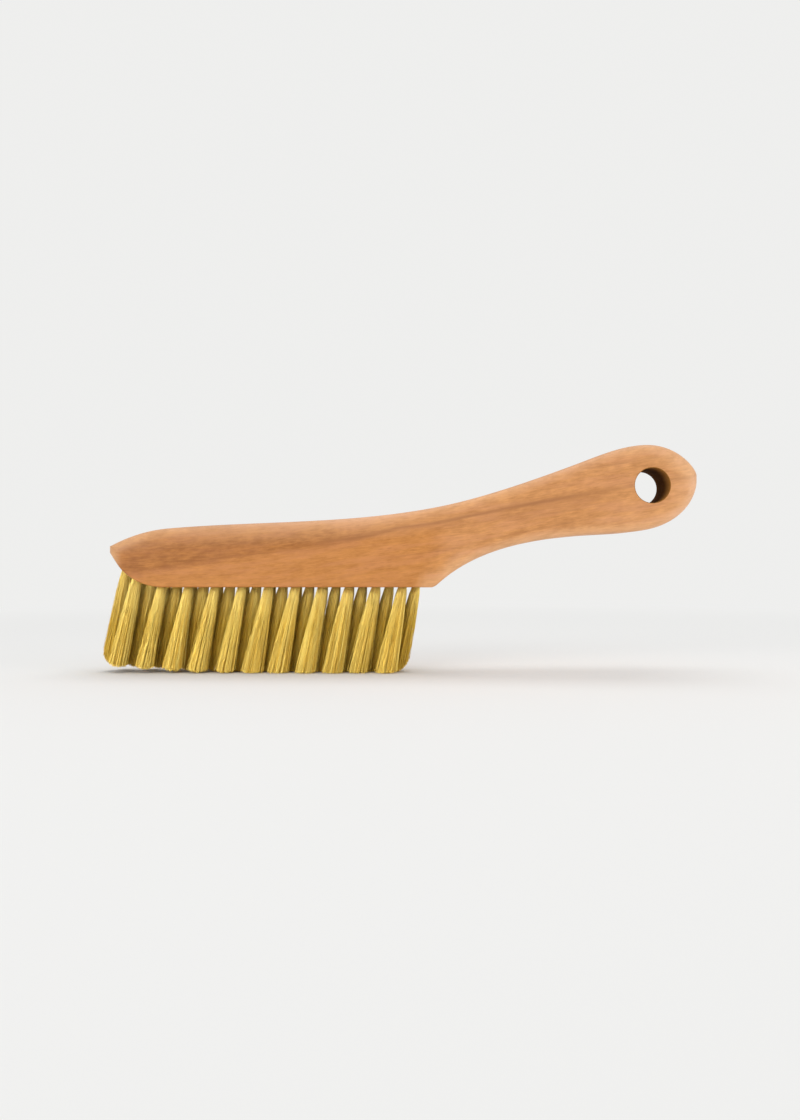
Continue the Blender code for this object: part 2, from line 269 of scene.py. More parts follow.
def wood_grain_group():
    """Lengthwise grain that follows the board's one bold streak, with short dark pores all over."""
    tree, given, result = named_tree(
        "wood grain",
        "ShaderNodeTree",
        (
            ("Position", "Vector"),
            ("Pale Wood", "Color"),
            ("Dark Wood", "Color"),
            ("Streak", "Color"),
            ("Pore", "Color"),
            ("Blush", "Color"),
            ("Streak Width", "Float"),
            ("Pore Strength", "Float"),
            ("Polish", "Float"),
        ),
        (("Color", "Color"), ("Roughness", "Float"), ("Height", "Float")),
    )
    axes = add_node(tree, "ShaderNodeSeparateXYZ", {0: given["Position"]}).outputs
    x, y, z = axes["X"], axes["Y"], axes["Z"]
    climb = calc(tree, "MULTIPLY_ADD", calc(tree, "MULTIPLY", x, x), streak_bend, streak_slope)
    middle = calc(tree, "MULTIPLY_ADD", x, climb, streak_height)
    above = calc(tree, "SUBTRACT", z, middle)
    ring = calc(tree, "MULTIPLY_ADD", calc(tree, "ADD", y, half_width), -ring_climb, above)
    on_head = calc(tree, "SMOOTH_MIN", calc(tree, "SUBTRACT", x, level_x), 0.0, level_blend)
    fibre_ring = calc(tree, "MULTIPLY_ADD", on_head, head_lie, ring)
    grain = add_node(tree, "ShaderNodeCombineXYZ", {0: x, 1: fibre_ring, 2: y}).outputs[0]

    def along(start, end, first=0.0, last=1.0):
        """A value that changes along the board between two places in x."""
        return ramp(tree, x, start, end, first, last)

    def marks(*to_metre):
        """Grain space with so many marks to the metre along the fibre, up the board and through it."""
        inputs = {0: grain, 1: to_metre}
        return add_node(tree, "ShaderNodeVectorMath", inputs, operation="MULTIPLY").outputs[0]

    def figure(*to_metre, detail=2.0, roughness=0.5):
        """A cloudy pattern with marks of that size."""
        return noise(tree, marks(*to_metre), 1.0, detail, roughness)

    # The darker zone above the streak: strong on the head, faint on the handle.
    dip = along(-0.002, 0.012, 0.0015, 0.0003)
    bent = calc(tree, "MULTIPLY_ADD", figure(16, 40, 30), 0.0030, calc(tree, "SUBTRACT", ring, dip))
    shade = calc(tree, "MULTIPLY", ramp(tree, bent, -0.0016, 0.0024), ramp(tree, bent, 0.0200, 0.0140))
    shade = calc(tree, "MULTIPLY", shade, along(0.010, -0.045, 0.12, 0.60))

    # Pale and dark wood in broad bands, small clouds and single fibres, with a reddish blush in places.
    band = figure(11, 130, 70, detail=3.0)
    cloud = figure(150, 330, 250, detail=3.0, roughness=0.6)
    fibre = figure(220, 1700, 1300, detail=3.0, roughness=0.6)
    warmth = figure(36, 210, 160, detail=3.0, roughness=0.6)
    lively = calc(tree, "MULTIPLY_ADD", shade, 1.1, along(-0.010, 0.040, 0.66, 1.0))
    even_out = -(band_strength + cloud_strength + fibre_strength) / 2
    tone = calc(tree, "MULTIPLY_ADD", band, band_strength, even_out)
    tone = calc(tree, "MULTIPLY_ADD", cloud, cloud_strength, tone)
    tone = calc(tree, "MULTIPLY_ADD", fibre, fibre_strength, tone)
    tone = calc(tree, "MULTIPLY_ADD", tone, lively, 0.5, clamp=True)
    body = mixed(tree, tone, given["Dark Wood"], given["Pale Wood"])
    body = mixed(tree, ramp(tree, warmth, 0.42, 0.66, 0.0, 0.40), body, given["Blush"])
    darker = mixed(tree, 1.0, body, shade_tint, blend="MULTIPLY")
    body = mixed(tree, shade, body, darker)

    # The streak, broken and wide on the head and narrow on the neck; its heart in the handle; thin veins.
    width = calc(tree, "MULTIPLY", given["Streak Width"], along(-0.045, 0.012, 2.5, 1.0))
    line = ramp(tree, calc(tree, "ABSOLUTE", bent), width, 0.0)
    patchy = ramp(tree, figure(34, 420, 300), 0.30, 0.62, 0.35, 0.90)
    fading = calc(tree, "MULTIPLY", along(-0.060, -0.015), along(0.055, 0.085, 1.0, 0.35))
    line = calc(tree, "MULTIPLY", calc(tree, "MULTIPLY", line, patchy), fading)
    body = mixed(tree, line, body, given["Streak"])
    heart = ramp(tree, calc(tree, "ABSOLUTE", calc(tree, "ADD", bent, 0.0012)), 0.0050, 0.0006)
    heart = calc(tree, "MULTIPLY", calc(tree, "MULTIPLY", heart, along(0.030, 0.050)), patchy)
    heart = calc(tree, "MULTIPLY", heart, along(0.070, 0.100, 0.50, 0.12))
    body = mixed(tree, heart, body, given["Streak"])
    veins = ramp(tree, figure(18, 520, 330), 0.55, 0.76)
    vein_strength = calc(tree, "MULTIPLY_ADD", shade, 0.40, along(-0.020, 0.040, 0.15, 0.36))
    body = mixed(tree, calc(tree, "MULTIPLY", veins, vein_strength), body, given["Streak"])

    # The pores: some of the long cells hold one, and they crowd together in places.
    cells = {"Vector": marks(300, 3300, 2200), "Scale": 1.0, "Randomness": 1.0}
    cells = add_node(tree, "ShaderNodeTexVoronoi", cells).outputs
    chance = add_node(tree, "ShaderNodeSeparateColor", {0: cells["Color"]}).outputs[0]
    pore = calc(tree, "MULTIPLY", ramp(tree, cells["Distance"], 0.55, 0.10), ramp(tree, chance, 0.35, 0.95))
    pore = calc(tree, "MULTIPLY", pore, ramp(tree, figure(24, 150, 120), 0.38, 0.62, 0.25, 1.0))
    body = mixed(tree, calc(tree, "MULTIPLY", pore, given["Pore Strength"]), body, given["Pore"])
    tree.links.new(body, result["Color"])
    dryness = calc(tree, "MULTIPLY_ADD", fibre, fibre_dryness, given["Polish"])
    tree.links.new(calc(tree, "MULTIPLY_ADD", pore, pore_dryness, dryness), result["Roughness"])
    tree.links.new(calc(tree, "SUBTRACT", calc(tree, "MULTIPLY", fibre, 0.5), pore), result["Height"])
    return tree


wood_grain = wood_grain_group()
grain_relief = 0.00004
wear_and_highlight_paling = (1.45, 2.00, 4.00, 1)
wear_and_highlight_tint = 0.5
most_wear_and_highlight = 0.85
most_painted_bore_light = 0.9


def wood_material(name, colours, streak_width, pore_strength, polish, specular, wear_and_highlight=None, painted_bore_light=None):
    """Wood with its grain. Eased edges turn to a paler colour, partly worn and partly painted highlight,
    and a bore's front half to a lighter colour, painted light falling into the bore.
    """
    material = bpy.data.materials.new(name)
    material.use_nodes = True
    tree = material.node_tree
    shader = tree.nodes["Principled BSDF"]
    place = add_node(tree, "ShaderNodeTexCoord").outputs["Object"]
    grain = add_node(tree, "ShaderNodeGroup", {"Position": place}, node_tree=wood_grain)
    for label, value in colours.items():
        grain.inputs[label].default_value = (*value, 1)
    grain.inputs["Streak Width"].default_value = streak_width
    grain.inputs["Pore Strength"].default_value = pore_strength
    grain.inputs["Polish"].default_value = polish
    shader.inputs["Specular IOR Level"].default_value = specular
    colour = grain.outputs["Color"]
    # Paler edges: partly wear, partly a painted highlight where light catches the rounded edges and the
    # end.
    if wear_and_highlight:
        wear_and_highlight_share = add_node(tree, "ShaderNodeAttribute", attribute_name="wear_and_highlight_share").outputs["Fac"]
        paler = mixed(tree, 1.0, colour, wear_and_highlight_paling, blend="MULTIPLY")
        paler = mixed(tree, wear_and_highlight_tint, paler, (*wear_and_highlight, 1))
        colour = mixed(tree, calc(tree, "MULTIPLY", wear_and_highlight_share, most_wear_and_highlight), colour, paler)
    # The bore's front half is painted lighter towards the front face: painted light falling into the bore.
    if painted_bore_light:
        across = add_node(tree, "ShaderNodeSeparateXYZ", {0: place}).outputs["Y"]
        colour = mixed(tree, ramp(tree, across, 0.0, -half_width, 0.0, most_painted_bore_light), colour, (*painted_bore_light, 1))
    tree.links.new(colour, shader.inputs["Base Color"])
    tree.links.new(grain.outputs["Roughness"], shader.inputs["Roughness"])
    relief = {"Height": grain.outputs["Height"], "Distance": grain_relief, "Strength": 0.5}
    tree.links.new(add_node(tree, "ShaderNodeBump", relief).outputs[0], shader.inputs["Normal"])
    return material


oiled_wood = wood_material(
    "oiled wood",
    {
        "Pale Wood": (0.645, 0.272, 0.070),
        "Dark Wood": (0.425, 0.158, 0.033),
        "Streak": (0.310, 0.108, 0.026),
        "Pore": (0.260, 0.086, 0.019),
        "Blush": (0.620, 0.258, 0.102),
    },
    streak_width=0.0014,
    pore_strength=0.38,
    polish=0.36,
    specular=0.28,
    wear_and_highlight=(0.810, 0.462, 0.245),
)
# Very dark wood for the bores: partly scorched by the bit, partly painted shade in the recess.
bored_wood = wood_material(
    "bored wood",
    {
        "Pale Wood": (0.120, 0.040, 0.005),
        "Dark Wood": (0.068, 0.020, 0.002),
        "Streak": (0.045, 0.013, 0.003),
        "Pore": (0.030, 0.008, 0.002),
        "Blush": (0.090, 0.030, 0.006),
    },
    streak_width=0.0015,
    pore_strength=0.7,
    polish=0.80,
    specular=0.02,
    painted_bore_light=(0.340, 0.150, 0.034),
)

blank = bpy.data.objects.new("blank", blank_mesh())
bpy.context.scene.collection.objects.link(blank)
blank.data.materials.append(oiled_wood)
blank.data.materials.append(bored_wood)


# The hanging hole. Bored right through the handle's bulb, its wall dark, partly scorched by the bit and
# partly painted shade, its front half painted lighter where light falls in, with both rims just broken by
# sandpaper.

hang_from_end = 0.0194
hang_above_middle = 0.0004
hang_radius = 0.01472 / 2
hang_flare = 0.00025
hang_x = end_x - hang_from_end
hang_z = (height_on(top_line, hang_x) + height_on(lower_line, hang_x)) / 2 + hang_above_middle


def hanging_bit(sides=96, beyond=0.001):
    """The shape that the bit cuts away, wider where it passes the two faces."""
    turns = np.linspace(0, math.tau, sides, endpoint=False)
    rings = []
    for y, radius in (
        (-half_width - beyond, hang_radius + hang_flare + beyond),
        (-half_width + hang_flare, hang_radius),
        (half_width - hang_flare, hang_radius),
        (half_width + beyond, hang_radius + hang_flare + beyond),
    ):
        x = hang_x + radius * np.cos(turns)
        z = hang_z + radius * np.sin(turns)
        rings.append(np.stack((x, np.full(sides, y), z), axis=1))
    mesh = ringed_mesh("hanging_bit", np.array(rings))
    mesh.materials.append(oiled_wood)
    mesh.materials.append(bored_wood)
    bored = mesh.materials.find(bored_wood.name)
    mesh.polygons.foreach_set("material_index", [bored] * len(mesh.polygons))
    return mesh


bit = bpy.data.objects.new("hanging_bit", hanging_bit())
bpy.context.scene.collection.objects.link(bit)
cut = blank.modifiers.new("hanging hole", "BOOLEAN")
cut.operation = "DIFFERENCE"
cut.solver = "EXACT"
cut.object = bit


# The wire field's holes. Three rows of blind holes drilled into the underside at a slant, the outer two
# rows half a pitch behind the middle one and tipped a little outwards.

row_pitches = 11
hole_rows = {"front": (-1, row_pitches), "middle": (0, row_pitches + 1), "rear": (1, row_pitches)}
nose_margin = 0.0043
heel_margin = 0.0076
hole_first_x = nose_x + nose_margin
hole_pitch = (head_length - nose_margin - heel_margin) / row_pitches
hole_row_spacing = 0.0044
hole_lean = math.radians(11.0)
hole_splay = math.radians(3.8)
hole_radius = 0.00225
hole_depth = 0.0085
drill_sides = 24
drill_run_up = 0.02


def hole_start(row, number=0):
    """Where a hole's axis crosses the plane of the underside. Outer rows stand half a pitch further on."""
    x = hole_first_x + (abs(row) / 2 + number) * hole_pitch
    return Vector((x, row * hole_row_spacing, underside))


def hole_down(row):
    """The way a row's holes point, out of the wood and towards the nose."""
    return Vector((-math.tan(hole_lean), row * math.tan(hole_splay), -1)).normalized()


def drilled_field_tree():
    """Drills the rows of holes into the blank, each from where its axis meets the wood."""
    sizes = [("Geometry", "Geometry"), ("Pitch", "Float"), ("Radius", "Float"), ("Depth", "Float")]
    for name in hole_rows:
        sizes += [(f"{name} Count", "Int"), (f"{name} Start", "Vector"), (f"{name} Direction", "Vector")]
    tree, given, result = named_tree("drilled wire field", "GeometryNodeTree", sizes, sizes[:1])
    drills = add_node(tree, "GeometryNodeJoinGeometry")
    step = add_node(tree, "ShaderNodeCombineXYZ", {0: given["Pitch"]}).outputs[0]
    length = calc(tree, "MULTIPLY", given["Depth"], 2.0)
    size = {"Vertices": drill_sides, "Radius": given["Radius"], "Depth": length}
    drill = add_node(tree, "GeometryNodeMeshCylinder", size).outputs["Mesh"]
    for name in hole_rows:
        line = {"Count": given[f"{name} Count"], "Start Location": given[f"{name} Start"], "Offset": step}
        starts = add_node(tree, "GeometryNodeMeshLine", line).outputs[0]
        down = given[f"{name} Direction"]
        place = add_node(tree, "GeometryNodeInputPosition").outputs[0]
        below = {0: down, 1: (drill_run_up,) * 3, 2: place}
        below = add_node(tree, "ShaderNodeVectorMath", below, operation="MULTIPLY_ADD").outputs[0]
        up = add_node(tree, "ShaderNodeVectorMath", {0: down, "Scale": -1.0}, operation="SCALE").outputs[0]
        ray = {"Target Geometry": given["Geometry"], "Source Position": below, "Ray Direction": up}
        ray["Ray Length"] = 3 * drill_run_up
        met = add_node(tree, "GeometryNodeRaycast", ray).outputs["Hit Position"]
        mouths = {"Geometry": starts, "Position": met}
        mouths = add_node(tree, "GeometryNodeSetPosition", mouths).outputs[0]
        turned = add_node(tree, "FunctionNodeAlignRotationToVector", {"Vector": down}, axis="Z").outputs[0]
        row = {"Points": mouths, "Instance": drill, "Rotation": turned}
        tree.links.new(add_node(tree, "GeometryNodeInstanceOnPoints", row).outputs[0], drills.inputs[0])
    loose = add_node(tree, "GeometryNodeRealizeInstances", {0: drills.outputs[0]}).outputs[0]
    # The bore walls get the dark bored wood: partly scorched, partly painted shade.
    charred_and_shaded = {"Geometry": loose, "Material": bored_wood}
    charred_and_shaded = add_node(tree, "GeometryNodeSetMaterial", charred_and_shaded).outputs[0]
    cut = {"Mesh 1": given["Geometry"], "Mesh 2": charred_and_shaded}
    cut = add_node(tree, "GeometryNodeMeshBoolean", cut, operation="DIFFERENCE", solver="EXACT")
    whole = add_node(tree, "GeometryNodeRealizeInstances", {0: cut.outputs["Mesh"]}).outputs[0]
    bored = add_node(tree, "GeometryNodeMaterialSelection", {"Material": bored_wood}).outputs[0]
    finish = {"Geometry": whole, "Selection": bored, "Material": bored_wood}
    tree.links.new(add_node(tree, "GeometryNodeSetMaterial", finish).outputs[0], result["Geometry"])
    return tree


def grow(obj, tree, sizes):
    """Gives an object a tree of geometry nodes with its sizes."""
    modifier = obj.modifiers.new(tree.name, "NODES")
    modifier.node_group = tree
    for socket in tree.interface.items_tree:
        if socket.in_out == "INPUT" and socket.name in sizes:
            modifier[socket.identifier] = sizes[socket.name]


def settled(obj, name):
    """The finished plain mesh of an object whose modifiers are then removed with it."""
    shape = obj.evaluated_get(bpy.context.evaluated_depsgraph_get())
    mesh = bpy.data.meshes.new_from_object(shape)
    mesh.name = name
    bpy.data.objects.remove(obj)
    return mesh


def show(name, mesh):
    """Puts a finished piece in the scene in place of the CAD node of that name."""
    piece = bpy.data.objects.new(f"{name}_finished", mesh)
    bpy.context.scene.collection.objects.link(piece)
    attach(piece, "root")
    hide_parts(name)


# How far each pale band, partly wear and partly painted highlight, reaches in from its edge or corner.
nose_wear_and_highlight = 0.0066
heel_wear_and_highlight = 0.0100
top_wear_and_highlight = 0.0063
low_wear_and_highlight = 0.0090
swept_wear_and_highlight = 0.0045


def edge_wear_and_highlight(points):
    """How pale each point of the wood is, from 0 to 1: partly wear from handling and sandpaper, partly
    painted highlight where light catches the edges, the heel corner and the end.
    """
    x, across, z = points.T
    side_view = points[:, (0, 2)]
    from_top, from_below = distance(side_view, top_line), distance(side_view, lower_line)
    at_nose = smooth_step(x, nose_x + nose_wear_and_highlight, nose_x + nose_wear_and_highlight / 3)
    to_nose = smooth_step(x, brow_x, nose_x)
    at_heel = smooth_step(np.hypot(x - heel_x, z - underside), heel_wear_and_highlight, heel_wear_and_highlight / 5)
    at_neck = smooth_step(x, heel_x - 0.030, heel_x) * smooth_step(x, bulb_x, grip_x)
    at_end = smooth_step(x, hang_x - 0.005, end_x)

    # The top edge, worn and with painted highlight, is palest towards the nose and at the end, and its band
    # is widest round the end.
    top_share = 0.72 + 0.28 * np.maximum(to_nose, at_end) - 0.17 * at_neck
    top_reach = top_wear_and_highlight + 0.0017 * smooth_step(x, brow_x, brow_x + 0.040) + 0.0060 * at_end
    top_edge = top_share * smooth_step(from_top / top_reach, 1, 0.2)

    # The lower edge, worn and with painted highlight, has none beside the wires, then a narrow band that
    # fades and a broad one that gains.
    past_heel = 0.45 * smooth_step(x, heel_x - 0.008, heel_x + 0.002)
    low_share = np.maximum(at_nose, past_heel + 0.32 * smooth_step(x, neck_x, bulb_x) + 0.30 * at_end)
    swept_share = 0.55 - 0.44 * smooth_step(x, neck_x + 0.010, grip_x + 0.014)
    swept_share *= smooth_step(x, heel_x, heel_x + 0.006)
    low_edge = low_share * smooth_step(from_below, low_wear_and_highlight, 0.0005)
    low_edge += swept_share * smooth_step(from_below, swept_wear_and_highlight, 0.0003)

    # The whole handle is a little paler, partly painted light. Except at the nose, all of this paleness is
    # fainter away from the two faces.
    handle = 0.24 * smooth_step(x, heel_x - 0.004, heel_x + 0.010) + 0.06 * smooth_step(x, grip_x, bulb_x)
    wear_and_highlight = np.maximum.reduce((top_edge, low_edge, 0.75 * at_heel, handle, 0.90 * at_nose, 0.70 * at_end))
    on_face = np.maximum(smooth_step(np.abs(across), 0.0045, 0.0095), 0.75 * at_nose)
    return wear_and_highlight * (0.35 + 0.65 * on_face)


drilling = {"Pitch": hole_pitch, "Radius": hole_radius, "Depth": hole_depth}
for name, (row, count) in hole_rows.items():
    drilling[f"{name} Count"] = count
    drilling[f"{name} Start"] = hole_start(row)
    drilling[f"{name} Direction"] = hole_down(row)
grow(blank, drilled_field_tree(), drilling)
back_mesh = settled(blank, "wooden_back")
bpy.data.objects.remove(bit)

crease = math.radians(35)
corners = np.empty(len(back_mesh.vertices) * 3)
back_mesh.vertices.foreach_get("co", corners)
# Paleness along the edges, partly wear and partly painted highlight, stored on the points.
wear_and_highlight_share = back_mesh.attributes.new("wear_and_highlight_share", "FLOAT", "POINT")
wear_and_highlight_share.data.foreach_set("value", edge_wear_and_highlight(corners.reshape(-1, 3)))
back_mesh.shade_smooth()
back_mesh.set_sharp_from_angle(angle=crease)
show("wooden_back", back_mesh)


# The tufts. Each is a bundle of fine crimped brass wire, folded over a flat staple that holds it in its
# hole, so that it spreads below the wood; all the tips are then trimmed to one line.

free_wire = underside
wires_in_tuft = 360
wire_radius = 0.000085
wire_crimp = 0.00010
wire_stray = 0.0006
wire_points = 13
golden_angle = 2.399963
locks_across = 3.4
lock_share = 0.45
lock_tone = 0.6
wire_tone = 0.4
root_at_nose = {-1: 0.00200, 0: 0.00220, 1: 0.00220}
root_at_heel = 0.00180
fold_depth = 0.0072
fold_gather = 0.6
kinks_begin = 0.15
stray_draw = 7
kink_draw = 19
staple_size = (0.00035, 0.0040, 0.0016)
tip_spacing = hole_row_spacing + free_wire * math.tan(hole_splay)
tip_gap = 0.0012
tip_radius = (math.hypot(hole_pitch / 2, tip_spacing) - tip_gap) / 2
outer_widening = 0.10
# The middle row is darker: partly tarnish, partly painted shade where the outer rows shade it.
row_tarnish_and_shade = {-1: 0.10, 0: 0.60, 1: 0.10}

# A tuft spreads evenly on its way down at 1, and sooner below the wood at less than 1.
front_spread = (0.58, 0.98, 1.00, 0.92, 0.96, 0.92, 0.86, 0.72, 0.64, 0.66, 0.80)
hidden_spread = 0.58 + 0.10 * np.linspace(0, 1, row_pitches + 1)

# The trim line: level at the heel, rising to the nose, and rounded off at both ends.
level_length = 0.045
trim_rise = 0.0041
nose_round = 0.0064
heel_round = 0.0072
tuft_crown = 0.0013
trim_uneven = 0.0004
trim_low = -0.0007

brass_dark = (0.94, 0.640, 0.105, 1)
brass_pale = (1.00, 0.815, 0.245, 1)
brass_mottled = (0.60, 0.39, 0.06, 1)
# Tarnished brass that also paints in the shade between the rows.
brass_tarnished_and_shaded = (0.70, 0.425, 0.028, 1)
# Lighter brass painted in near the wood, a painted light.
brass_painted_light = (1.00, 0.80, 0.27, 1)
mottle_scale = 900.0
most_mottled = 0.3
most_painted_light = 0.55
dark_roughness = 0.46
pale_roughness = 0.34


def wire_material():
    """Brass that varies from wire to wire, darker within the brush, partly tarnish and partly painted
    shade, and painted lighter next to the wood, a painted light.
    """
    material = bpy.data.materials.new("brass wire")
    material.use_nodes = True
    tree = material.node_tree
    shader = tree.nodes["Principled BSDF"]
    shader.inputs["Metallic"].default_value = 1.0
    tone = add_node(tree, "ShaderNodeAttribute", attribute_name="tone").outputs["Fac"]
    place = add_node(tree, "ShaderNodeTexCoord").outputs["Object"]
    mottle = ramp(tree, noise(tree, place, mottle_scale), 0.50, 0.80, 0.0, most_mottled)
    bright = mixed(tree, tone, brass_dark, brass_pale)
    dull = mixed(tree, mottle, bright, brass_mottled)
    # Darker within the brush: partly tarnish, partly painted shade between the rows.
    tarnish_and_shade = add_node(tree, "ShaderNodeAttribute", attribute_name="tarnish_and_shade").outputs["Fac"]
    colour = mixed(tree, tarnish_and_shade, dull, brass_tarnished_and_shaded)
    # Painted light: the upper half of each wire is painted lighter, lifting the shade under the wood.
    height = add_node(tree, "ShaderNodeSeparateXYZ", {0: place}).outputs["Z"]
    painted_root_light = ramp(tree, height, free_wire / 2, free_wire, 0.0, most_painted_light)
    colour = mixed(tree, painted_root_light, colour, brass_painted_light)
    tree.links.new(colour, shader.inputs["Base Color"])
    roughness = ramp(tree, tone, 0.0, 1.0, dark_roughness, pale_roughness)
    tree.links.new(roughness, shader.inputs["Roughness"])
    return material


brass_wire = wire_material()


def wire_tuft_tree():
    """One tuft: wires packed in a round hole, spreading and kinking on their way down to the trim line."""
    sizes = (
        ("Geometry", "Geometry"),
        ("Wires", "Int"),
        ("Wire Radius", "Float"),
        ("Crimp", "Float"),
        ("Root Radius", "Float"),
        ("Tip Radius", "Float"),
        ("Flare", "Float"),
        ("Stray", "Float"),
        ("Mouth", "Vector"),
        ("Foot", "Vector"),
        ("Fold Depth", "Float"),
        ("Turn", "Float"),
        ("Seed", "Int"),
        ("Nose End", "Float"),
        ("Heel End", "Float"),
        ("Level Length", "Float"),
        ("Trim Rise", "Float"),
        ("Nose Round", "Float"),
        ("Heel Round", "Float"),
        ("Crown", "Float"),
        ("Tarnish And Shade", "Float"),
    )
    tree, given, result = named_tree("wire tuft", "GeometryNodeTree", sizes, sizes[:1])

    def vector(operation, *values):
        inputs = dict(enumerate(values))
        return add_node(tree, "ShaderNodeVectorMath", inputs, operation=operation).outputs[0]

    def scaled(value, amount):
        inputs = {0: value, "Scale": amount}
        return add_node(tree, "ShaderNodeVectorMath", inputs, operation="SCALE").outputs[0]

    def part_of(value, axis):
        return add_node(tree, "ShaderNodeSeparateXYZ", {0: value}).outputs[axis]

    def between(share, first, second):
        inputs = {0: share, 4: first, 5: second}
        return add_node(tree, "ShaderNodeMix", inputs, data_type="VECTOR").outputs[1]

    def kept(geometry, name, kind, value):
        """The geometry with a value stored on its points."""
        inputs = {"Geometry": geometry, "Name": name, "Value": value}
        return add_node(tree, "GeometryNodeStoreNamedAttribute", inputs, data_type=kind).outputs[0]

    def recalled(name):
        """A vector stored before."""
        stored = add_node(tree, "GeometryNodeInputNamedAttribute", {"Name": name}, data_type="FLOAT_VECTOR")
        return stored.outputs[0]

    def random_vector(identity, draw):
        """Each part between -1 and 1. Its own number keeps one draw apart from another."""
        seed = calc(tree, "ADD", given["Seed"], draw)
        inputs = {0: (-1.0, -1.0, -1.0), 1: (1.0, 1.0, 1.0), "ID": identity, "Seed": seed}
        return add_node(tree, "FunctionNodeRandomValue", inputs, data_type="FLOAT_VECTOR").outputs[0]

    # Each wire's place in the round bundle, the lock it gathers to, and its tone.
    number = add_node(tree, "GeometryNodeInputIndex").outputs[0]
    share = calc(tree, "SQRT", calc(tree, "DIVIDE", calc(tree, "ADD", number, 0.5), given["Wires"]))
    turn = calc(tree, "MULTIPLY_ADD", number, golden_angle, given["Turn"])
    place = {0: calc(tree, "COSINE", turn), 1: calc(tree, "SINE", turn)}
    place = scaled(add_node(tree, "ShaderNodeCombineXYZ", place).outputs[0], share)
    offset = add_node(tree, "ShaderNodeCombineXYZ", {2: given["Seed"]}).outputs[0]
    cells = {"Vector": vector("ADD", place, offset), "Scale": locks_across, "Randomness": 1.0}
    cells = add_node(tree, "ShaderNodeTexVoronoi", cells).outputs
    lock = vector("MULTIPLY", vector("SUBTRACT", cells["Position"], offset), (1.0, 1.0, 0.0))
    tone = {2: 0.0, 3: wire_tone, "ID": number, "Seed": given["Seed"]}
    tone = add_node(tree, "FunctionNodeRandomValue", tone, data_type="FLOAT").outputs[1]
    tone = calc(tree, "MULTIPLY_ADD", part_of(cells["Color"], 0), lock_tone, tone)
    wires = add_node(tree, "GeometryNodePoints", {"Count": given["Wires"]}).outputs[0]
    wires = kept(wires, "place", "FLOAT_VECTOR", place)
    wires = kept(wires, "gathered", "FLOAT_VECTOR", between(lock_share, place, lock))
    wires = kept(wires, "astray", "FLOAT_VECTOR", random_vector(number, stray_draw))
    wires = kept(wires, "tone", "FLOAT", tone)
    # How dark the tuft's row is: partly tarnish, partly painted shade.
    wires = kept(wires, "tarnish_and_shade", "FLOAT", given["Tarnish And Shade"])
    straight = add_node(tree, "GeometryNodeCurvePrimitiveLine").outputs[0]
    straight = {"Curve": straight, "Count": wire_points}
    straight = add_node(tree, "GeometryNodeResampleCurve", straight).outputs[0]
    wires = {"Points": wires, "Instance": straight}
    wires = add_node(tree, "GeometryNodeInstanceOnPoints", wires).outputs[0]
    wires = add_node(tree, "GeometryNodeRealizeInstances", {0: wires}).outputs[0]

    # How high the trim line passes over the wire's foot.
    place, astray, gathered = recalled("place"), recalled("astray"), recalled("gathered")
    flat_stray = vector("MULTIPLY", astray, (1.0, 1.0, 0.0))
    tip = vector("ADD", scaled(gathered, given["Tip Radius"]), scaled(flat_stray, given["Stray"]))
    foot_x = part_of(vector("ADD", given["Foot"], tip), 0)
    level_end = calc(tree, "SUBTRACT", given["Heel End"], given["Level Length"])
    up_slope = calc(tree, "SUBTRACT", level_end, foot_x)
    up_slope = calc(tree, "DIVIDE", up_slope, calc(tree, "SUBTRACT", level_end, given["Nose End"]))
    up_slope = calc(tree, "MAXIMUM", up_slope, 0.0)
    height = calc(tree, "MULTIPLY", calc(tree, "MULTIPLY", up_slope, up_slope), given["Trim Rise"])
    for beyond, radius in (
        (calc(tree, "SUBTRACT", given["Nose End"], foot_x), given["Nose Round"]),
        (calc(tree, "SUBTRACT", foot_x, given["Heel End"]), given["Heel Round"]),
    ):
        over = calc(tree, "MAXIMUM", calc(tree, "ADD", beyond, radius), 0.0)
        # Just short of the radius, so that the curve stays finite past the end.
        over = calc(tree, "MINIMUM", over, calc(tree, "MULTIPLY", radius, 0.98))
        inside = calc(tree, "MULTIPLY", over, over)
        inside = calc(tree, "SUBTRACT", calc(tree, "MULTIPLY", radius, radius), inside)
        height = calc(tree, "ADD", height, calc(tree, "SUBTRACT", radius, calc(tree, "SQRT", inside)))
    reach = add_node(tree, "ShaderNodeVectorMath", {0: place}, operation="LENGTH").outputs[1]
    crown = calc(tree, "MULTIPLY", calc(tree, "MULTIPLY", reach, reach), given["Crown"])
    uneven = calc(tree, "MULTIPLY_ADD", part_of(astray, 2), trim_uneven, trim_low)
    height = calc(tree, "ADD", calc(tree, "ADD", height, crown), uneven)
    height = calc(tree, "MAXIMUM", height, calc(tree, "ADD", given["Wire Radius"], given["Crimp"]))

